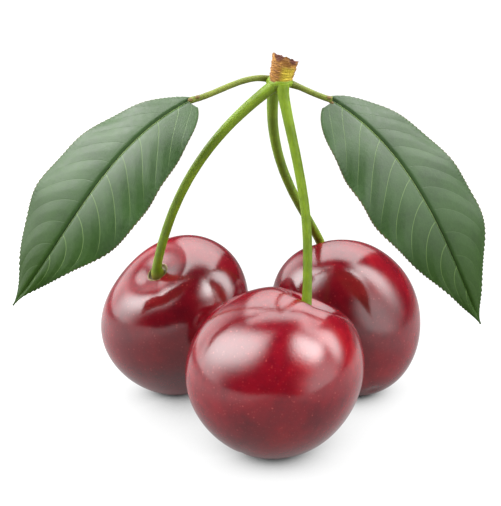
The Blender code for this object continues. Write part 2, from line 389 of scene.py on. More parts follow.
def green_skin(name, dull, fresh, foot):
    """Fresh stalk: fine lengthwise grain, duller green patches, tan where it leaves the fruit."""
    material, tree, shader = new_material(name)
    place = in_millimetres(tree)
    along = stored(tree, "along")
    blotches = noise_of(tree, place, 0.35, 3.0, 0.6)
    fibres_at = stretched(tree, place, (6.0, 6.0, 0.7))
    fibres = noise_of(tree, fibres_at, 1.0, 3.0, 0.6)
    factor = maths(tree, "MULTIPLY_ADD", fibres, 0.4, times(tree, blotches, 0.7))
    colour = mix(tree, ramp(tree, factor, 0.35, 0.75), dull, fresh)
    specks = noise_of(tree, place, 3.5, 2.0)
    colour = mix(tree, ramp(tree, specks, 0.66, 0.76, 0.0, 0.5), colour, STALK_SPECK)
    colour = mix(tree, ramp(tree, along, 0.045, 0.0, 0.0, 0.85), colour, foot)
    connect(tree, shader, colour=colour, roughness=ramp(tree, blotches, 0.2, 0.8, 0.42, 0.58),
            normal=bump(tree, fibres, 0.00006, 0.6))
    set_inputs(shader, {"Specular IOR Level": 0.35, "Subsurface Weight": 0.15,
                        "Subsurface Radius": (0.5, 0.8, 0.2), "Subsurface Scale": 0.0008})
    return material


def vein_lines(tree, width):
    """Side veins and midrib, each 1 on its line and 0 beside it, the reach and the blade's map.

    The map's first value goes across the blade, from 0 at the lower margin to 1 at the upper
    one, and its second goes along the midrib to the tip. The reach is 0 on the midrib and 1 at
    either margin.
    """
    uv = add(tree, "ShaderNodeUVMap", uv_map="blade").outputs[0]
    over_blade = split_xyz(tree, uv)
    across = maths(tree, "ABSOLUTE", maths(tree, "MULTIPLY_ADD", over_blade[0], 2.0, -1.0))
    upper = maths(tree, "GREATER_THAN", over_blade[0], 0.5)
    back = times(tree, maths(tree, "POWER", across, VEIN_CURVE), VEIN_SWEEP)
    start = maths(tree, "SUBTRACT", over_blade[1], back)
    start = maths(tree, "MULTIPLY_ADD", upper, VEIN_STAGGER / VEIN_COUNT, start)
    turn = maths(tree, "FRACT", times(tree, start, VEIN_COUNT))
    off = maths(tree, "ABSOLUTE", maths(tree, "SUBTRACT", turn, 0.5))
    line = ramp(tree, off, width, width * 0.25)
    side_veins = times(tree, line, ramp(tree, across, 1.0, 0.7))
    midrib = ramp(tree, across, 0.030, 0.008)
    return side_veins, midrib, across, over_blade


def leaf_top():
    """Waxy dark green upper face, duller to the tip: pale veins, a fine net, brown-red teeth, and a
    midrib with painted shade on its upper side and pale, painted light on its lower side.
    """
    material, tree, shader = new_material("leaf_top")
    place = in_millimetres(tree)
    side_veins, midrib, across, over_blade = vein_lines(tree, 0.030)
    lower_half = maths(tree, "LESS_THAN", over_blade[0], 0.5)
    tone = noise_of(tree, place, 0.22, 3.0, 0.6)
    fine = noise_of(tree, place, 1.4, 3.0, 0.6)
    green = mix(tree, ramp(tree, tone, 0.3, 0.7), LEAF_DEEP, LEAF_GREEN)
    green = mix(tree, ramp(tree, fine, 0.35, 0.7, 0.0, 0.4), green, LEAF_FLECK)
    green = mix(tree, ramp(tree, over_blade[1], 0.45, 1.0, 0.0, 0.75), green, LEAF_TIP)
    net = add(tree, "ShaderNodeTexVoronoi", {"Vector": place, "Scale": 1.25},
              feature="DISTANCE_TO_EDGE").outputs["Distance"]
    net = ramp(tree, net, 0.10, 0.02)
    colour = mix(tree, times(tree, net, 0.05), green, LEAF_NET)
    paleness = maths(tree, "MULTIPLY_ADD", lower_half, 0.55, 0.05)
    colour = mix(tree, times(tree, side_veins, paleness), colour, LEAF_VEIN)
    # Painted shade and light: the midrib is dark on the upper half's side and pale on the lower half's
    # side.
    colour = mix(tree, midrib, colour, mix(tree, lower_half, MIDRIB_PAINTED_SHADE, MIDRIB_PALE_AND_LIT))
    colour = mix(tree, ramp(tree, across, 0.975, 0.998, 0.0, 0.6), colour, LEAF_TOOTH)
    rough = ramp(tree, fine, 0.2, 0.8, 0.40, 0.50)
    relief = maths(tree, "MULTIPLY_ADD", net, -0.12, fine)
    relief = maths(tree, "MULTIPLY_ADD", side_veins, -0.6, relief)
    connect(tree, shader, colour=colour, roughness=rough, normal=bump(tree, relief, 0.00004, 0.45))
    gloss = ramp(tree, over_blade[1], 0.25, 0.95, 0.54, 0.12)
    tree.links.new(gloss, shader.inputs["Specular IOR Level"])
    return material


def leaf_under():
    """Paler, duller underside with the same veins."""
    material, tree, shader = new_material("leaf_under")
    place = in_millimetres(tree)
    side_veins, midrib, _, _ = vein_lines(tree, 0.060)
    tone = noise_of(tree, place, 0.3, 3.0, 0.6)
    fine = noise_of(tree, place, 1.8, 3.0, 0.6)
    green = mix(tree, ramp(tree, tone, 0.3, 0.7), UNDER_DULL, UNDER_GREEN)
    colour = mix(tree, maths(tree, "MAXIMUM", side_veins, midrib), green, UNDER_VEIN)
    connect(tree, shader, colour=colour, roughness=ramp(tree, fine, 0.2, 0.8, 0.55, 0.75),
            normal=bump(tree, fine, 0.00008, 0.6))
    return material


def bark():
    """Orange-brown spur bark with yellow papery scales and dark cracks."""
    material, tree, shader = new_material("bark")
    place = in_millimetres(tree)
    layer = stored(tree, "layer")
    torn = stored(tree, "torn")
    papery = stored(tree, "papery")
    bands_at = stretched(tree, place, (1.0, 1.0, 4.5))
    bands = noise_of(tree, bands_at, 1.1, 4.0, 0.65)
    grit = noise_of(tree, place, 4.0, 3.0, 0.7)
    brown = mix(tree, ramp(tree, bands, 0.3, 0.7), BARK_DARK, BARK_LIGHT)
    brown = mix(tree, ramp(tree, grit, 0.58, 0.75, 0.0, 0.7), brown, BARK_GRIT)
    brown = mix(tree, ramp(tree, layer, 0.75, 1.0, 0.0, 0.75), brown, BARK_CRACK)
    yellow = mix(tree, ramp(tree, bands, 0.35, 0.65), PAPER_DARK, PAPER_LIGHT)
    colour = mix(tree, papery, brown, yellow)
    wood = mix(tree, ramp(tree, grit, 0.35, 0.65), TORN_DARK, TORN_LIGHT)
    colour = mix(tree, torn, colour, wood)
    height = maths(tree, "ADD", bands, grit)
    connect(tree, shader, colour=colour, roughness=ramp(tree, grit, 0.2, 0.8, 0.6, 0.85),
            normal=bump(tree, height, 0.00012, 0.8))
    return material


# ---- fruits

PIT_RINGS = 26
BODY_RINGS = 130
CHERRY_RINGS = PIT_RINGS + BODY_RINGS
CHERRY_MERIDIANS = 200
PIT_RADIUS = 1.75  # the small socket at the bottom of the hollow that the stalk stands in
PIT_DEPTH = 0.55
PIT_EDGE = 0.052  # share of the way from stalk end to far end where the socket's colour ends
RING_SINK = 0.10  # how far the middle of the tan ring lies under the skin
PIT_ANGLES = math.radians(14.0)
LUMP_SIZE = 7.0
LUMP_HEIGHT = 0.05
COARSE = (100, 80)  # rings and meridians that are enough to find a fruit's size


def cherry_reach(spec, theta, phi):
    """Distance from the fruit's middle to its skin, theta from the stalk end and phi around."""
    swell = 1.0 + spec["second"] * np.cos(2 * theta) + spec["third"] * np.cos(3 * theta)
    keys = ("broad", "lean", "lobes")
    broad, lean, lobes = (phi - math.radians(spec[key + "_turn"]) for key in keys)
    swell = swell * (1.0 + spec["broad"] * np.sin(theta) ** 2 * np.cos(2 * broad)
                     + spec["lean"] * np.sin(2 * theta) * np.cos(lean))
    swell = swell + spec["lobes"] * np.sin(theta) ** 3 * np.cos(3 * lobes)
    swell = swell - spec["cavity"] * np.exp(-((theta / math.radians(spec["spread"])) ** CAVITY_POWER))
    off_seam = (phi + math.pi / 2 + math.pi) % (2 * math.pi) - math.pi
    swell = swell - SUTURE_DEPTH * bell(off_seam, SUTURE_HALF_WIDTH) * np.sin(theta) ** 0.5
    swell = swell - SCAR_DEPTH * bell(math.pi - theta, SCAR_HALF_ANGLE)
    return spec["radius"] * swell


def ring_angles(rings):
    """Angles of the skin's rings from the stalk end, closer together in the socket."""
    near = PIT_ANGLES * np.arange(1, PIT_RINGS + 1) / PIT_RINGS
    rest = rings - PIT_RINGS
    far = PIT_ANGLES + (math.pi - PIT_ANGLES) * np.arange(1, rest) / rest
    return np.concatenate([near, far])


def cherry_points(spec, rings, meridians):
    """Skin points about the fruit's middle: one at the socket floor, rings, one at the scar."""
    along, across, beside = axes_along(spec["stalk_end"])
    theta = ring_angles(rings)[:, None]
    phi = (2 * math.pi * np.arange(meridians) / meridians)[None, :]
    way = (np.cos(theta)[..., None] * along
           + (np.sin(theta) * np.cos(phi))[..., None] * across
           + (np.sin(theta) * np.sin(phi))[..., None] * beside)
    reach = cherry_reach(spec, theta, phi)
    socket = 1.0 - smooth_step(reach * np.sin(theta) / PIT_RADIUS, 0.80, 1.05)
    skin = (way * (reach - PIT_DEPTH * socket * (np.cos(theta) > 0))[..., None]).reshape(-1, 3)
    floor = along * (cherry_reach(spec, 0.0, 0.0) - PIT_DEPTH)
    scar = -along * cherry_reach(spec, math.pi, 0.0)
    return np.vstack([floor, skin, scar])


def cherry_middle(spec):
    lowest = cherry_points(spec, *COARSE)[:, 2].min()
    return np.array((*spec["at"], -lowest - REST_CUT))


def offset_to_frame():
    """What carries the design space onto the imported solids, found on the front fruit."""
    spec = CHERRIES["front"]
    points = cherry_points(spec, *COARSE) + cherry_middle(spec)
    points[:, 2] = np.maximum(points[:, 2], 0.0)
    here = (points.min(0) + points.max(0)) / 2
    low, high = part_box("cherry_front")
    there = np.array((low + high) / 2) / MM
    offset = there - here
    offset[2] = 0.0
    return offset


OFFSET = offset_to_frame()


def make_cherry(side, material):
    spec = CHERRIES[side]
    points = cherry_points(spec, CHERRY_RINGS, CHERRY_MERIDIANS)
    lumps = soft_noise(points, LUMP_SIZE, sum(map(ord, side)) % 17)
    points += unit(points) * (lumps * LUMP_HEIGHT)[:, None]
    points += cherry_middle(spec)
    points[:, 2] = np.maximum(points[:, 2], 0.0)
    last = len(points) - 1
    faces = [[1 + i for i in quad] for quad in grid_faces(CHERRY_RINGS - 1, CHERRY_MERIDIANS, True)]
    for k in range(CHERRY_MERIDIANS):
        j = (k + 1) % CHERRY_MERIDIANS
        faces.append([0, 1 + j, 1 + k])
        faces.append([last, last - CHERRY_MERIDIANS + k, last - CHERRY_MERIDIANS + j])
    obj = make_piece("cherry_" + side + "_skin", points, faces, [material])
    face_outwards(obj)
    add_skin_map(obj)
    return keep(obj, "cherry_" + side)


def add_skin_map(obj):
    """A map with the way round in its first value and the way down in its second."""
    layer = obj.data.uv_layers.new(name="skin")
    angles = np.concatenate([[0.0], ring_angles(CHERRY_RINGS), [math.pi]]) / math.pi
    last = len(obj.data.vertices) - 1
    for polygon in obj.data.polygons:
        turns = []
        for loop in polygon.loop_indices:
            vertex = obj.data.loops[loop].vertex_index
            ring, step = divmod(vertex - 1, CHERRY_MERIDIANS)
            if vertex in (0, last):
                ring, step = (-1 if vertex == 0 else CHERRY_RINGS - 1), None
            turns.append((loop, ring, step))
        steps = [step for _, _, step in turns if step is not None]
        seam = max(steps) - min(steps) > CHERRY_MERIDIANS // 2
        for loop, ring, step in turns:
            step = steps[0] if step is None else step
            if seam and step < CHERRY_MERIDIANS // 2:
                step += CHERRY_MERIDIANS
            layer.data[loop].uv = (step / CHERRY_MERIDIANS, angles[ring + 1])


# ---- stalks

STALK_EXTRA = 0.9  # how far the stalk runs on into the knuckle under the spur
STALK_FLARE = 0.09  # share of the stalk's length over which its foot flares
STALK_FOOT_EXTRA = 0.1  # how much wider the foot is than in the solids
STALK_FOOT_RISE = 1.15  # added to the straight run, for a foot that starts down in the socket
SWEEP_STEPS = 240
SWEEP_SIDES = 28


def group_input(tree, name, kind, value):
    socket = tree.interface.new_socket(name, in_out="INPUT", socket_type=kind)
    if value is not None:
        socket.default_value = value
    return socket.identifier


def sweep_tree():
    """Geometry nodes: a round, faintly ridged stem along a curve, thicker by its point radius."""
    tree = bpy.data.node_groups.new("stem_sweep", "GeometryNodeTree")
    wanted = (("curve", "Curve", "Geometry", None), ("steps", "Steps", "Int", SWEEP_STEPS),
              ("sides", "Sides", "Int", SWEEP_SIDES), ("ridge", "Ridge Height", "Float", 0.00003),
              ("size", "Ridge Size", "Float", 0.0012), ("seed", "Seed", "Float", 0.0),
              ("material", "Material", "Material", None))
    keys = {key: group_input(tree, name, "NodeSocket" + kind, value)
            for key, name, kind, value in wanted}
    tree.interface.new_socket("Stem", in_out="OUTPUT", socket_type="NodeSocketGeometry")
    given = add(tree, "NodeGroupInput").outputs
    path = add(tree, "GeometryNodeResampleCurve", {"Curve": given["Curve"], "Count": given["Steps"]})
    ring = add(tree, "GeometryNodeCurvePrimitiveCircle", {"Resolution": given["Sides"], "Radius": 1.0})
    share = add(tree, "GeometryNodeSplineParameter").outputs["Factor"]
    marked = add(tree, "GeometryNodeStoreNamedAttribute",
                 {"Geometry": path.outputs[0], "Name": "along", "Value": share},
                 data_type="FLOAT", domain="POINT")
    girth = add(tree, "GeometryNodeInputRadius").outputs[0]
    tube = add(tree, "GeometryNodeCurveToMesh",
               {"Curve": marked.outputs[0], "Profile Curve": ring.outputs[0], "Scale": girth,
                "Fill Caps": True})
    place = add(tree, "GeometryNodeInputPosition").outputs[0]
    scaled = add(tree, "ShaderNodeVectorMath", {0: place, 1: given["Ridge Size"]}, operation="DIVIDE")
    lumps = add(tree, "ShaderNodeTexNoise",
                {"Vector": scaled.outputs[0], "W": given["Seed"], "Scale": 1.0, "Detail": 2.0},
                noise_dimensions="4D")
    swing = maths(tree, "SUBTRACT", lumps.outputs[0], 0.5)
    rise = times(tree, swing, given["Ridge Height"])
    outwards = add(tree, "GeometryNodeInputNormal").outputs[0]
    push = add(tree, "ShaderNodeVectorMath", {0: outwards, "Scale": rise}, operation="SCALE")
    shaped = add(tree, "GeometryNodeSetPosition",
                 {"Geometry": tube.outputs[0], "Offset": push.outputs[0]})
    smooth = add(tree, "GeometryNodeSetShadeSmooth", {"Geometry": shaped.outputs[0]})
    real = add(tree, "GeometryNodeRealizeInstances", {0: smooth.outputs[0]})
    finished = add(tree, "GeometryNodeSetMaterial", {0: real.outputs[0], "Material": given["Material"]})
    add(tree, "NodeGroupOutput", {0: finished.outputs[0]})
    return tree, keys


def sweep(name, paths, material, ridge=0.03, size=1.2, steps=SWEEP_STEPS, sides=SWEEP_SIDES,
          seed=0.0):
    """A plain mesh of round stems: paths is a list of (points, radii) in design millimetres."""
    curve = bpy.data.curves.new(name + "_path", "CURVE")
    curve.dimensions = "3D"
    for points, radii in paths:
        spline = curve.splines.new("POLY")
        spline.points.add(len(points) - 1)
        for spot, point, radius in zip(spline.points, (points + OFFSET) * MM, radii):
            spot.co = (*point, 1.0)
            spot.radius = radius * MM
    holder = bpy.data.objects.new(name + "_holder", curve)
    put_in_scene(holder)
    tree, keys = SWEEP
    modifier = holder.modifiers.new("stem_sweep", "NODES")
    modifier.node_group = tree
    values = dict(steps=steps, sides=sides, ridge=ridge * MM, size=size * MM, seed=seed,
                  material=material)
    for key, value in values.items():
        modifier[keys[key]] = value
    graph = bpy.context.evaluated_depsgraph_get()
    mesh = bpy.data.meshes.new_from_object(holder.evaluated_get(graph), depsgraph=graph)
    mesh.name = name
    bpy.data.objects.remove(holder)
    bpy.data.curves.remove(curve)
    obj = bpy.data.objects.new(name, mesh)
    put_in_scene(obj)
    face_outwards(obj)
    mesh.polygons.foreach_set("use_smooth", [True] * len(mesh.polygons))
    return obj


def stalk_curve(side):
    """Control points of the stalk, from the floor of the socket to the spur."""
    spec = CHERRIES[side]
    along = unit(spec["stalk_end"])
    foot = cherry_middle(spec) + along * (cherry_reach(spec, 0.0, 0.0) - PIT_DEPTH)
    stalk = STALKS[side]
    return np.array([foot, foot + along * (stalk["run"] + STALK_FOOT_RISE), *stalk["bend"], stalk["top"]])


def stalk_radius(t):
    flare = (STALK_FOOT_RADIUS + STALK_FOOT_EXTRA - STALK_RADIUS) * bell(t, STALK_FLARE)
    swelling = (STALK_TOP_RADIUS - STALK_RADIUS) * t**8
    return STALK_RADIUS + flare + swelling


def make_stalk(side, material):
    t = np.linspace(0.0, 1.0, 90)
    curve = stalk_curve(side)
    points = bezier(curve, t)
    ending = points[-1] + bezier_tangent(curve, np.array([1.0]))[0] * STALK_EXTRA
    points = np.vstack([points, ending])
    radii = np.append(stalk_radius(t), STALK_TOP_RADIUS)
    obj = sweep("stalk_" + side + "_stem", [(points, radii)], material, ridge=0.07, size=1.6,
                seed=float(len(side)))
    return keep(obj, "stalk_" + side)


def make_foot_ring(side, material):
    """The thin tan rim where the stalk leaves the fruit, at the bottom of the cavity."""
    spec = CHERRIES[side]
    along, across, beside = axes_along(spec["stalk_end"])
    middle = cherry_middle(spec)
    turns = np.linspace(0.0, 2 * math.pi, 61)[:-1]
    ring_radius = PIT_RADIUS * 0.98
    theta = math.atan2(ring_radius, cherry_reach(spec, 0.0, 0.0))
    points = []
    for turn in turns:
        way = math.cos(theta) * along
        way = way + math.sin(theta) * (math.cos(turn) * across + math.sin(turn) * beside)
        wobble = 1.0 + 0.003 * math.sin(3 * turn + 1.0)
        level = cherry_reach(spec, theta, turn) - RING_SINK
        points.append(middle + way * level * wobble)
    points = np.array(points + [points[0]])
    radii = 0.11 + 0.03 * np.sin(2 * np.append(turns, 0.0) + 0.6)
    obj = sweep("cavity_ring_" + side, [(points, radii)], material, ridge=0.06, size=0.5,
                steps=120, sides=10)
    return keep(obj, "cherry_" + side)


# ---- leaves

BLADE_ARCH = 0.033  # flatter than the solids' 0.13, which puts the blade up to 0.9 mm off theirs
VEIN_COUNT = 11  # side veins along the whole blade, on each side
VEIN_SWEEP = 0.20  # how far a side vein runs on towards the tip by the time it meets the margin
VEIN_CURVE = 1.7
VEIN_STAGGER = 0.45  # the veins of one half start between those of the other
BLADE_ROWS = 430
BLADE_COLUMNS = 40  # on each side of the midrib
BLADE_HALF_THICKNESS = 0.11
QUILT_HEIGHT = 0.09
MIDRIB_GROOVE = 0.26
GROOVE_WIDTH = 0.27
TOOTH_PITCH = 0.72
TOOTH_HEIGHT = 0.17
TOOTH_HOOK = 0.13
WAVE_HEIGHT = 0.30
WAVE_COUNT = 4.2  # along the whole margin


def half_width(half, t):
    power = math.log(0.5) / math.log(half["widest"])
    sharpness = np.where(t < half["widest"], half["base"], half["tip"])
    return half["width"] * np.maximum(np.sin(math.pi * np.clip(t, 0, 1) ** power), 0.0) ** sharpness


class Blade:
    """One leaf's blade as a surface of t, along the midrib, and u, from margin to margin."""

    def __init__(self, side):
        self.spec = LEAVES[side]
        self.seed = 3.0 if side == "left" else 8.0
        self.table = np.linspace(0.002, 0.998, 3000)
        self.margin = {}
        for half, sign in (("upper", 1.0), ("lower", -1.0)):
            edge = self.outline(self.table, sign)
            steps = np.linalg.norm(np.diff(edge, axis=0), axis=1)
            self.margin[half] = np.concatenate([[0.0], np.cumsum(steps)])

    def axes(self, t):
        tangent = bezier_tangent(self.spec["midrib"], t)
        side = unit(np.cross(np.array(self.spec["faces"]), tangent))
        side = side * np.sign(side[..., 2:3])
        up = unit(np.cross(side, tangent))
        up = up * np.sign((up * np.array(self.spec["faces"])).sum(-1, keepdims=True))
        return tangent, side, up

    def width(self, t, u):
        wide = np.where(u > 0, half_width(self.spec["upper"], t), half_width(self.spec["lower"], t))
        return np.maximum(wide, 0.12)

    def outline(self, t, sign):
        _, side, _ = self.axes(t)
        u = np.full_like(t, sign)
        return bezier(self.spec["midrib"], t) + side * (u * self.width(t, u))[..., None]

    def tooth(self, t, u):
        """Height from 0 to 1 of the saw teeth that point along the margin to the tip."""
        upper = np.interp(t, self.table, self.margin["upper"])
        lower = np.interp(t, self.table, self.margin["lower"])
        run = np.where(u > 0, upper, lower + 0.4)
        uneven = run + 0.25 * np.sin(run * 0.9 + self.seed)
        phase = (uneven / TOOTH_PITCH) % 1.0
        saw = np.where(phase < 0.7, phase / 0.7, (1.0 - phase) / 0.3)
        return saw * smooth_step(t, 0.01, 0.04) * smooth_step(t, 0.97, 0.9)

    def vein_phase(self, t, u):
        """0.5 on a side vein and 0 or 1 half way between two, as in the blade's material."""
        start = t - VEIN_SWEEP * np.abs(u) ** VEIN_CURVE
        start = start + np.where(u > 0, VEIN_STAGGER / VEIN_COUNT, 0.0)
        return (start * VEIN_COUNT) % 1.0

    def relief(self, t, u):
        """Quilting between the side veins, the midrib's groove and waves at the margin."""
        reach = np.abs(u)
        wide = self.width(t, u)
        off = np.abs(self.vein_phase(t, u) - 0.5) * 2.0
        quilt = QUILT_HEIGHT * (off**0.8 - 0.5) * smooth_step(reach, 0.02, 0.50)
        quilt = quilt * smooth_step(reach, 1.0, 0.8) * np.minimum(wide / 6.0, 1.0)
        quilt = quilt * smooth_step(t, 0.08, 0.34)
        groove = -MIDRIB_GROOVE * bell(reach * wide, GROOVE_WIDTH) * smooth_step(t, 1.0, 0.9)
        turns = 2 * math.pi * (WAVE_COUNT * t + 0.13 * self.seed) + 2.0 * np.sign(u)
        wave = WAVE_HEIGHT * reach**3 * np.sin(turns)
        wave = wave * smooth_step(t, 0.0, 0.15) * smooth_step(t, 1.0, 0.85)
        return quilt + groove + wave

    def point(self, t, u):
        """Middle of the blade's thickness, and its outward direction on the upper face."""
        t, u = np.broadcast_arrays(np.asarray(t, float), np.asarray(u, float))
        tangent, side, up = self.axes(t)
        wide = self.width(t, u)
        reach = np.abs(u)
        arch = np.minimum(1.0, 4.0 * t)
        lift = BLADE_ARCH * arch * wide * np.sin(math.pi * reach**0.8)
        lift = lift - BLADE_DROOP * arch * wide * u * u
        lift = lift + self.relief(t, u)
        edge = smooth_step(reach, 0.86, 1.0) * self.tooth(t, u)
        heel = BLADE_HEEL * np.exp(-t / 0.05) * u * u
        spot = bezier(self.spec["midrib"], t)
        spot = spot + side * (u * wide + np.sign(u) * edge * TOOTH_HEIGHT)[..., None]
        spot = spot + tangent * (edge * TOOTH_HOOK - heel)[..., None] + up * lift[..., None]
        return spot, up

    def rows(self):
        """Values of t that are evenly spaced along the longer margin."""
        longest = np.maximum(self.margin["upper"], self.margin["lower"])
        return np.interp(np.linspace(0, longest[-1], BLADE_ROWS), longest, self.table)


def make_blade(side, top, under):
    blade = Blade(side)
    t = blade.rows()[:, None]
    share = np.linspace(0.0, 1.0, BLADE_COLUMNS + 1)
    share = 0.5 * share + 0.25 * (1 - np.cos(math.pi * share))
    u = np.concatenate([-share[:0:-1], share])[None, :]
    middle, up = blade.point(t, u)
    across = middle[:, 2:] - middle[:, :-2]
    along = np.gradient(middle, axis=0)
    normal = np.cross(np.pad(across, ((0, 0), (1, 1), (0, 0)), mode="edge"), along)
    normal = unit(normal)
    normal = normal * np.sign((normal * up).sum(-1, keepdims=True))
    thin = BLADE_HALF_THICKNESS * np.sqrt(1.0 - u**8)[..., None]
    rows, columns = middle.shape[:2]
    upper = middle + normal * thin
    lower = (middle - normal * thin)[:, 1:-1]
    ring = np.concatenate([upper, lower[:, ::-1]], axis=1)
    count = ring.shape[1]
    faces = grid_faces(rows, count, True)
    faces.append(list(range(count))[::-1])
    faces.append([(rows - 1) * count + k for k in range(count)])
    obj = make_piece("leaf_" + side + "_blade", ring, faces, [top, under])
    maps = np.concatenate([np.broadcast_to(u, (rows, columns)),
                           np.broadcast_to(u[:, 1:-1][:, ::-1], (rows, columns - 2))], axis=1)
    layer = obj.data.uv_layers.new(name="blade")
    loops = np.zeros(len(obj.data.loops), int)
    obj.data.loops.foreach_get("vertex_index", loops)
    ways = np.stack([maps.reshape(-1) * 0.5 + 0.5, np.repeat(t[:, 0], count)], -1)
    layer.data.foreach_set("uv", ways[loops].reshape(-1))
    index = np.zeros(len(obj.data.polygons), int)
    cells = np.arange((rows - 1) * count) % count
    index[: len(cells)] = cells >= columns - 1
    obj.data.polygons.foreach_set("material_index", index)
    face_outwards(obj)
    return keep(obj, "leaf_" + side), blade


def make_ribs(side, blade, material):
    """The midrib and side veins that stand out under the blade."""
    paths = []
    t = np.linspace(0.0, 0.985, 120)
    spots, up = blade.point(t, np.zeros_like(t))
    radii = 0.10 + 0.30 * (1.0 - t) ** 1.6
    paths.append((spots - up * (0.10 + 0.5 * radii)[:, None], radii))
    for half in (-1.0, 1.0):
        for k in range(1, VEIN_COUNT):
            start = (k + 0.5 - (VEIN_STAGGER if half > 0 else 0.0)) / VEIN_COUNT
            u = np.linspace(0.02, 0.86, 50)
            t = start + VEIN_SWEEP * u**VEIN_CURVE
            if t[-1] > 0.97 or start < 0.01:
                continue
            spots, up = blade.point(t, half * u)
            radii = 0.13 * (1.0 - u) ** 0.7 + 0.02
            paths.append((spots - up * 0.12, radii))
    obj = sweep("leaf_" + side + "_ribs", paths, material, ridge=0.0, steps=60, sides=8)
    return keep(obj, "leaf_" + side)


def make_leaf_stalk(side, material):
    spec = LEAVES[side]
    t = np.linspace(0.0, 1.0, 60)
    points = bezier(spec["stalk"], t)
    inwards = -bezier_tangent(spec["stalk"], np.array([0.0]))[0]
    points = np.vstack([points[0] + inwards * 1.0, points])
    radii = LEAF_STALK_RADIUS * (1.0 + 0.15 * bell(t, 0.10) + 0.12 * bell(1 - t, 0.1))
    radii = np.append(radii[0] * 1.2, radii)
    obj = sweep("leaf_" + side + "_stalk", [(points, radii)], material, ridge=0.08, size=0.8,
                sides=20)
    return keep(obj, "leaf_" + side)


# Each gland's share of the way up the leaf stalk, and which way round it sits.
GLANDS = {"left": ((0.90, 0.95), (0.99, 0.35)), "right": ((0.93, 1.0), (0.985, -0.6))}
GLAND_RINGS, GLAND_SIDES = 10, 18
GLAND_RADIUS = 0.30


def make_glands(side, material):
    """Small oval nectar glands near the top of the leaf stalk."""
    spec = LEAVES[side]
    points, faces = [], []
    for share, turn in GLANDS[side]:
        centre = bezier(spec["stalk"], np.array([share]))[0]
        along = bezier_tangent(spec["stalk"], np.array([share]))[0]
        out = unit(np.array((0.0, -0.35, 1.0)) * turn + np.array((0.0, -0.6, 0.0)))
        centre = centre + out * LEAF_STALK_RADIUS * 0.95
        first = len(points)
        for theta, phi in ball_angles(GLAND_RINGS, GLAND_SIDES):
            dimple = 1.0 - 0.25 * math.exp(-((theta / 0.5) ** 2))
            side_way = math.cos(phi) * along * 1.35 + math.sin(phi) * np.cross(out, along)
            way = out * math.cos(theta) * dimple + side_way * math.sin(theta)
            points.append(centre + GLAND_RADIUS * way)
        quads = grid_faces(GLAND_RINGS + 1, GLAND_SIDES, True)
        faces += [[first + v for v in quad] for quad in quads]
    obj = make_piece("leaf_" + side + "_glands", np.array(points), faces, [material])
    face_outwards(obj, merge=1e-7)
    return keep(obj, "leaf_" + side)


# ---- spur

SPUR_ROWS = 110
SPUR_SIDES = 160
SPUR_LAYERS = 4
TORN_RINGS = 22  # rings of the torn top, from its rim to its middle
TORN_FALL = 0.55  # how much the top slopes down to the far side
TORN_HOLLOW = 0.35
KNUCKLE_FROM_FOOT = (-0.15, 0.0, -0.30)
KNUCKLE_HALF_SIZE = (2.05, 1.95, 1.25)
KNUCKLE_RINGS, KNUCKLE_SIDES = 48, 72


def spur_wall(t, turn, phase):
    """The side of the stub, with its overlapping scale layers and its torn, sloping rim."""
    foot, shaft = np.array(SPUR_FOOT), np.array(SPUR_TOP) - np.array(SPUR_FOOT)
    along, across, beside = axes_along(shaft)
    out = np.cos(turn)[..., None] * across + np.sin(turn)[..., None] * beside
    body = SPUR_FOOT_RADIUS + (SPUR_TOP_RADIUS - SPUR_FOOT_RADIUS) * t
    layers = 0.05 + 0.13 * phase**1.5 * smooth_step(phase, 1.0, 0.9)
    base = foot + shaft * t[..., None] + out * 2.0
    rough = 0.07 * soft_noise(base * np.array((1, 1, 2.5)), 0.6, 2) + 0.10 * soft_noise(base, 1.6, 5)
    fibres = 0.03 * soft_noise(base * np.array((4, 4, 0.6)), 0.9, 7)
    radius = body * (1.0 + 0.05 * np.sin(2 * turn)) - 0.05 + layers + rough + fibres
    tear = -0.34 * np.cos(turn) + 0.10 * np.sin(4 * turn + 0.6) + 0.07 * np.sin(11 * turn)
    tear = tear - TORN_FALL * np.sin(turn)
    tear = tear + 0.15 * soft_noise(out * 3.0, 0.5, 11)
    lift = along * (tear * np.clip(t, 0, 1) ** 6)[..., None]
    return foot + shaft * t[..., None] + lift + out * radius[..., None]


def torn_top(rim):
    """Rings from the rim in to the middle of the torn wood, sunk a little and splintered."""
    top = np.array(SPUR_TOP)
    along = unit(top - np.array(SPUR_FOOT))
    rings = []
    for share in np.linspace(0.93, 0.04, TORN_RINGS):
        centre = top - along * (TORN_HOLLOW * (1 - share) ** 0.6)
        level = centre + (rim - top) * share
        chips = 0.16 * soft_noise(level, 0.35, 13) + 0.10 * soft_noise(level, 0.9, 17)
        rings.append(level + along * chips[..., None])
    return np.array(rings)


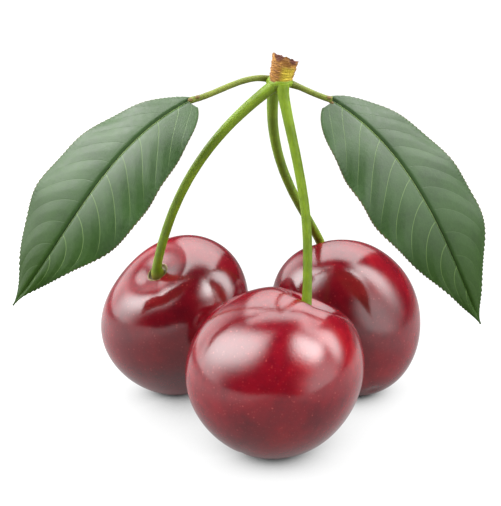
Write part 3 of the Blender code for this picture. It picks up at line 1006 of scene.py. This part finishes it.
def make_spur(material):
    """The woody stub, with what its bark material needs to know stored at each point."""
    t = np.linspace(-0.06, 1.0, SPUR_ROWS)[:, None]
    turn = (2 * math.pi * np.arange(SPUR_SIDES) / SPUR_SIDES)[None, :]
    slant = 0.06 * np.sin(turn + 0.8) + 0.03 * np.sin(3 * turn)
    phase = ((t + slant) * SPUR_LAYERS + 0.25) % 1.0
    wall = spur_wall(t, turn, phase)
    points = np.concatenate([wall, torn_top(wall[-1])])
    rows = len(points)
    faces = grid_faces(rows, SPUR_SIDES, True)
    faces.append(list(range(SPUR_SIDES))[::-1])
    faces.append([(rows - 1) * SPUR_SIDES + k for k in range(SPUR_SIDES)])
    obj = make_piece("spur_bark", points, faces, [material])
    heights = np.concatenate([t[:, 0], np.full(TORN_RINGS, 1.2)])
    share = np.broadcast_to(heights[:, None], (rows, SPUR_SIDES))
    around = np.broadcast_to(turn, (rows, SPUR_SIDES))
    layer = np.concatenate([phase, np.zeros((TORN_RINGS, SPUR_SIDES))])
    torn = smooth_step(share + 0.10 * np.sin(5 * around), 0.86, 1.0)
    facing = np.cos(around + 1.05)
    papery = smooth_step(facing, 0.62, 0.98) * smooth_step(share, 0.80, 0.55)
    for name, values in (("layer", layer), ("torn", torn), ("papery", papery)):
        store(obj, name, values)
    face_outwards(obj)
    return keep(obj, "spur")


def make_knuckle(material):
    """The green swelling under the spur where stalks and leaf stalks run together."""
    centre = np.array(SPUR_FOOT) + np.array(KNUCKLE_FROM_FOOT)
    points = []
    for theta, phi in ball_angles(KNUCKLE_RINGS, KNUCKLE_SIDES):
        way = np.array((math.sin(theta) * math.cos(phi), math.sin(theta) * math.sin(phi),
                        math.cos(theta)))
        points.append(centre + way * np.array(KNUCKLE_HALF_SIZE))
    points = np.array(points)
    lumps = soft_noise(points, 1.3, 21) * 0.14
    points += unit(points - centre) * lumps[:, None]
    faces = grid_faces(KNUCKLE_RINGS + 1, KNUCKLE_SIDES, True)
    obj = make_piece("spur_knuckle", points, faces, [material])
    store(obj, "along", np.full(len(points), 0.5))
    face_outwards(obj, merge=1e-6)
    return keep(obj, "spur")


# ---- studio

EYE_HEIGHT = math.radians(20.0)
EYE_DISTANCE = 0.350
VIEW_WIDTH = 0.07705  # what the frame spans at that distance
AIM_FROM_MIDDLE = (0.0002, -0.0069, 0.0005)  # what the camera looks at, from the bunch's middle


def place_camera():
    low, high = (np.array(corner) for corner in cad_box)
    aim = (low + high) / 2 + np.array(AIM_FROM_MIDDLE)
    data = bpy.data.cameras.new("camera")
    data.sensor_fit = "HORIZONTAL"
    data.sensor_width = 36.0
    data.lens = data.sensor_width * EYE_DISTANCE / VIEW_WIDTH
    data.clip_start = 0.01
    data.clip_end = 20.0
    camera = bpy.data.objects.new("camera", data)
    towards = np.array((0.0, -math.cos(EYE_HEIGHT), math.sin(EYE_HEIGHT)))
    camera.location = aim + towards * EYE_DISTANCE
    camera.rotation_euler = (math.pi / 2 - EYE_HEIGHT, 0.0, 0.0)
    put_in_scene(camera)
    bpy.context.scene.camera = camera


WHITE_SEEN = 1.05  # the surroundings, as the camera sees them
STUDIO_LEVEL = 0.72  # scales the boxes, the ceiling and the room that light the bunch
FLOOR_GLOW = 1.06
# Painted light: the floor glows brighter to the left and right, as if lit by the side boxes.
FLOOR_LEFT = (-0.015, -0.070, 1.2)  # glow added to the left, from where to where and how much
FLOOR_RIGHT = (0.028, 0.075, 0.6)
FLOOR_CAST = 0.58  # share of the floor's glow that lights the bunch
FLOOR_CAST_BEHIND = (0.04, 0.12, 0.12)  # where it falls off behind the bunch, and to what
FLOOR_HALF = 1.5
# Painted contact shadow: the floor's glow is darkened near the fruits, where they close it in.
CONTACT_REACH = 0.017  # metres over which the fruits darken the floor beside them
CONTACT_RISE = 5.2  # how fast the floor lightens as it opens to the room
CONTACT_DARK = 0.075  # openness below which the floor is black


def make_floor():
    """A white light table: it glows evenly, with painted light brighter to the sides and a painted shadow
    where the fruits darken it.
    """
    material, tree, shader = new_material("floor_white")
    place = add(tree, "ShaderNodeTexCoord").outputs["Object"]
    east, north = split_xyz(tree, place)[:2]
    # Painted light: more glow to the left and to the right.
    start, end, more = FLOOR_LEFT
    glow = ramp(tree, east, start, end, FLOOR_GLOW, FLOOR_GLOW + more)
    start, end, more = FLOOR_RIGHT
    glow = maths(tree, "ADD", glow, ramp(tree, east, start, end, 0.0, more))
    # Painted contact shadow, from how closed in the floor is near the fruits.
    open_sky = add(tree, "ShaderNodeAmbientOcclusion", {"Distance": CONTACT_REACH}, samples=24)
    opened = maths(tree, "SUBTRACT", open_sky.outputs["AO"], CONTACT_DARK)
    opened = maths(tree, "MAXIMUM", opened, 0.0)
    shade = maths(tree, "EXPONENT", times(tree, opened, -CONTACT_RISE))
    shade = maths(tree, "SUBTRACT", 1.0, shade)
    set_inputs(shader, {"Base Color": (0.02, 0.02, 0.02, 1), "Roughness": 0.9,
                        "Specular IOR Level": 0.0, "Emission Color": (1, 1, 1, 1)})
    glow = times(tree, glow, shade)
    seen = add(tree, "ShaderNodeLightPath").outputs["Is Camera Ray"]
    start, end, least = FLOOR_CAST_BEHIND
    cast = ramp(tree, north, start, end, FLOOR_CAST, least)
    level = maths(tree, "MAXIMUM", seen, cast)
    tree.links.new(times(tree, glow, level), shader.inputs["Emission Strength"])
    mesh = bpy.data.meshes.new("floor")
    signs = ((-1, -1), (1, -1), (1, 1), (-1, 1))
    corners = [(x * FLOOR_HALF, y * FLOOR_HALF, 0) for x, y in signs]
    mesh.from_pydata(corners, [], [(0, 1, 2, 3)])
    mesh.materials.append(material)
    floor = bpy.data.objects.new("floor", mesh)
    put_in_scene(floor)


# Soft light boxes. turn is the way round from the viewer's side, towards the right, and rise
# the height above the floor, both in degrees. wide and tall are half sizes, slant leans the
# box over, and edge is 1 for a soft edge and more for a crisp one.
LIGHT_BOXES = (
    dict(turn=-78, rise=45, bright=16, wide=35, tall=30, slant=-0.62, edge=1.8),
    dict(turn=64, rise=51, bright=21, wide=25, tall=15, slant=0.0, edge=1.4),
    dict(turn=62, rise=10, bright=4, wide=34, tall=26, slant=0.0, edge=2.0),
    dict(turn=103, rise=37, bright=12, wide=13, tall=25, slant=0.0, edge=1.8),
    dict(turn=-100, rise=4, bright=5, wide=26, tall=22, slant=-0.3, edge=1.6),
    dict(turn=-140, rise=18, bright=3.5, wide=15, tall=30, slant=0.0, edge=1.5),
)
ROOM_DIM = 0.06
# The ceiling panel. Each edge goes from where it is dark to where it is fully bright: beside
# and behind are in panel heights, and high is the upward part of the direction.
CEILING_NEAR = 6.5  # added to CEILING_FAR over the fruits
CEILING_FAR = 2.2
CEILING_FADE = 1.5
CEILING_LEFT = (-0.58, -0.46)
CEILING_RIGHT = (0.62, 0.53)
CEILING_RIGHT_SKEW = -0.3
CEILING_START = (0.12, 0.34)
CEILING_HIGH = (0.10, 0.26)


def box_glow(tree, turn, rise, box):
    """How bright one soft box looks at this turn and rise."""
    shift = -box["slant"] * box["rise"] - box["turn"]
    lean = maths(tree, "MULTIPLY_ADD", rise, box["slant"], shift)
    aside = maths(tree, "DIVIDE", maths(tree, "ADD", turn, lean), box["wide"])
    above = maths(tree, "DIVIDE", maths(tree, "SUBTRACT", rise, box["rise"]), box["tall"])
    off = maths(tree, "ADD", times(tree, aside, aside),
                times(tree, above, above))
    off = maths(tree, "POWER", off, box["edge"])
    fade = maths(tree, "EXPONENT", times(tree, off, -1.0))
    return times(tree, fade, box["bright"])


def ceiling_glow(tree, east, north, high):
    """A bright ceiling panel from over the fruits to far behind them, crisp at its sides."""
    over = maths(tree, "MAXIMUM", high, 0.02)
    beside = maths(tree, "DIVIDE", east, over)
    behind = maths(tree, "DIVIDE", north, over)
    right = maths(tree, "MULTIPLY_ADD", behind, CEILING_RIGHT_SKEW, beside)
    inside = times(tree, ramp(tree, beside, *CEILING_LEFT), ramp(tree, right, *CEILING_RIGHT))
    inside = times(tree, inside, ramp(tree, behind, *CEILING_START))
    inside = times(tree, inside, ramp(tree, high, *CEILING_HIGH))
    far = times(tree, behind, 1 / CEILING_FADE)
    fade = maths(tree, "EXPONENT", times(tree, times(tree, far, far), -1.0))
    return times(tree, inside, maths(tree, "MULTIPLY_ADD", fade, CEILING_NEAR, CEILING_FAR))


def make_studio():
    """White to the eye; the bunch sees soft boxes, a ceiling panel and an otherwise dim room."""
    world = bpy.data.worlds.new("studio")
    bpy.context.scene.world = world
    world.use_nodes = True
    tree = world.node_tree
    tree.nodes.clear()
    way = add(tree, "ShaderNodeTexCoord").outputs["Generated"]
    way = add(tree, "ShaderNodeVectorMath", {0: way}, operation="NORMALIZE").outputs[0]
    east, north, high = split_xyz(tree, way)
    turn = maths(tree, "ARCTAN2", east, times(tree, north, -1.0))
    turn = times(tree, turn, 180 / math.pi)
    rise = times(tree, maths(tree, "ARCSINE", high), 180 / math.pi)
    level = maths(tree, "ADD", ceiling_glow(tree, east, north, high), ROOM_DIM)
    for box in LIGHT_BOXES:
        level = maths(tree, "ADD", level, box_glow(tree, turn, rise, box))
    level = times(tree, level, STUDIO_LEVEL)
    seen = add(tree, "ShaderNodeLightPath").outputs["Is Camera Ray"]
    plain = maths(tree, "MULTIPLY_ADD", seen, maths(tree, "SUBTRACT", WHITE_SEEN, level), level)
    light = add(tree, "ShaderNodeBackground", {"Color": (1, 1, 1, 1), "Strength": plain})
    add(tree, "ShaderNodeOutputWorld", {"Surface": light.outputs[0]})


# ---- the whole bunch

SWEEP = sweep_tree()
skin = cherry_skin()
stalk_green = green_skin("stalk_green", STALK_DULL, STALK_FRESH, STALK_TAN)
leaf_stalk_green = green_skin("leaf_stalk_green", LEAF_STALK_DULL, LEAF_STALK_FRESH, LEAF_STALK_FOOT)
ring_tan = green_skin("ring_tan", RING_DULL, RING_FRESH, RING_FOOT)
top_face, under_face = leaf_top(), leaf_under()
spur_bark = bark()

for fruit in CHERRIES:
    make_cherry(fruit, skin)
    make_stalk(fruit, stalk_green)
    make_foot_ring(fruit, ring_tan)
for side in LEAVES:
    _, surface = make_blade(side, top_face, under_face)
    make_ribs(side, surface, leaf_stalk_green)
    make_leaf_stalk(side, leaf_stalk_green)
    make_glands(side, ring_tan)
make_spur(spur_bark)
make_knuckle(stalk_green)

place_camera()
make_floor()
make_studio()
bpy.context.scene.view_settings.view_transform = "Standard"
